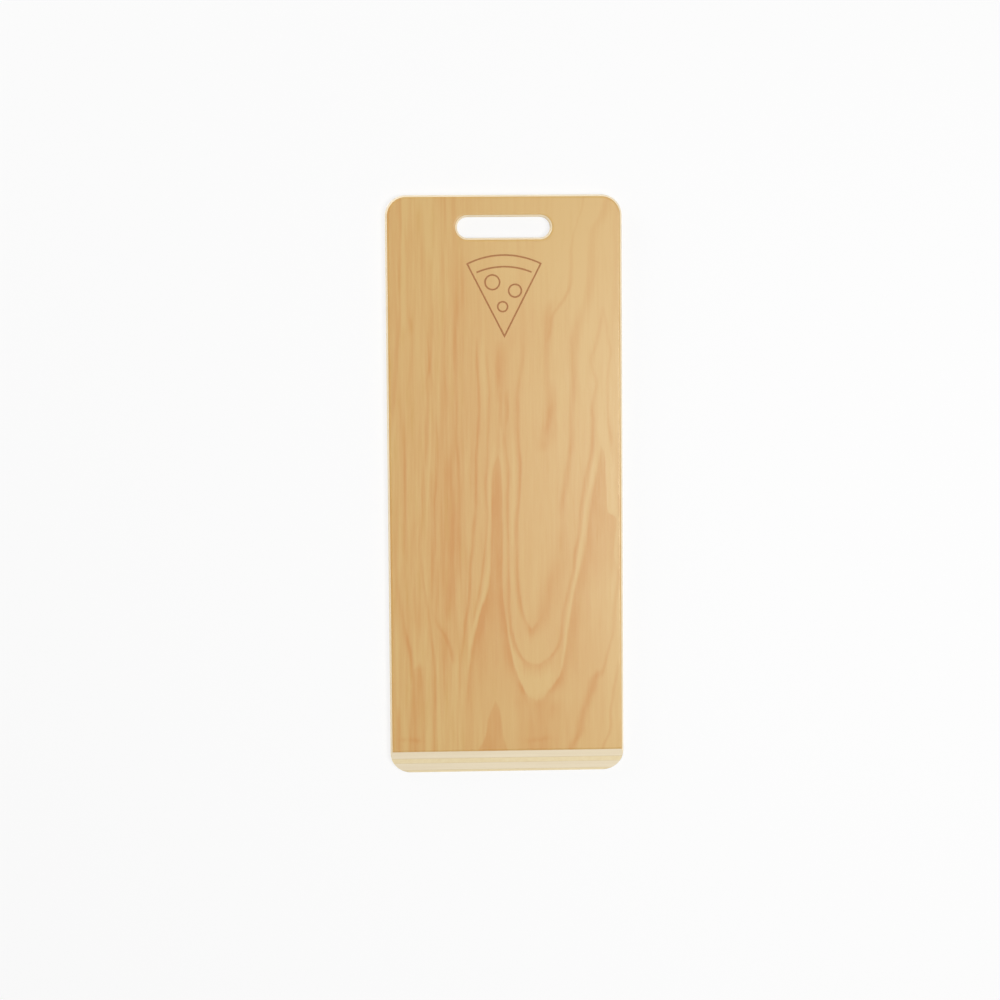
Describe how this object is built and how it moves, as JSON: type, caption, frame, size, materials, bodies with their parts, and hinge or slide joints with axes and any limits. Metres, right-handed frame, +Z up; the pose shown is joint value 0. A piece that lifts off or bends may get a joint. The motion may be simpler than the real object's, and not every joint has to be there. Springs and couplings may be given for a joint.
{
  "type": "pizza serving board",
  "caption": "Long plywood serving board with rounded corners and edges, a hand slot at one end, and a bevel at the other for sliding pizza on and off.",
  "frame": {"origin": "middle of the back face that the board lies on", "axes": "+Z up out of the serving face, +Y along the board towards the hand slot, +X across it to the right as the serving face is seen with the slot at the top"},
  "size_m": [0.25, 0.615, 0.012],
  "materials": {
    "face_veneer": "satin, sealed",
    "back_veneer": "satin, sealed",
    "cross_ply": "sanded",
    "long_ply": "sanded",
    "glue_film": "cured wood glue"
  },
  "bodies": {
    "root": {"face_veneer": "face_veneer", "glue_film_1": "glue_film", "cross_ply_1": "cross_ply", "glue_film_2": "glue_film", "long_ply_2": "long_ply", "glue_film_3": "glue_film", "cross_ply_3": "cross_ply", "glue_film_4": "glue_film", "long_ply_4": "long_ply", "glue_film_5": "glue_film", "cross_ply_5": "cross_ply", "glue_film_6": "glue_film", "back_veneer": "back_veneer"}
  },
  "joints": []
}
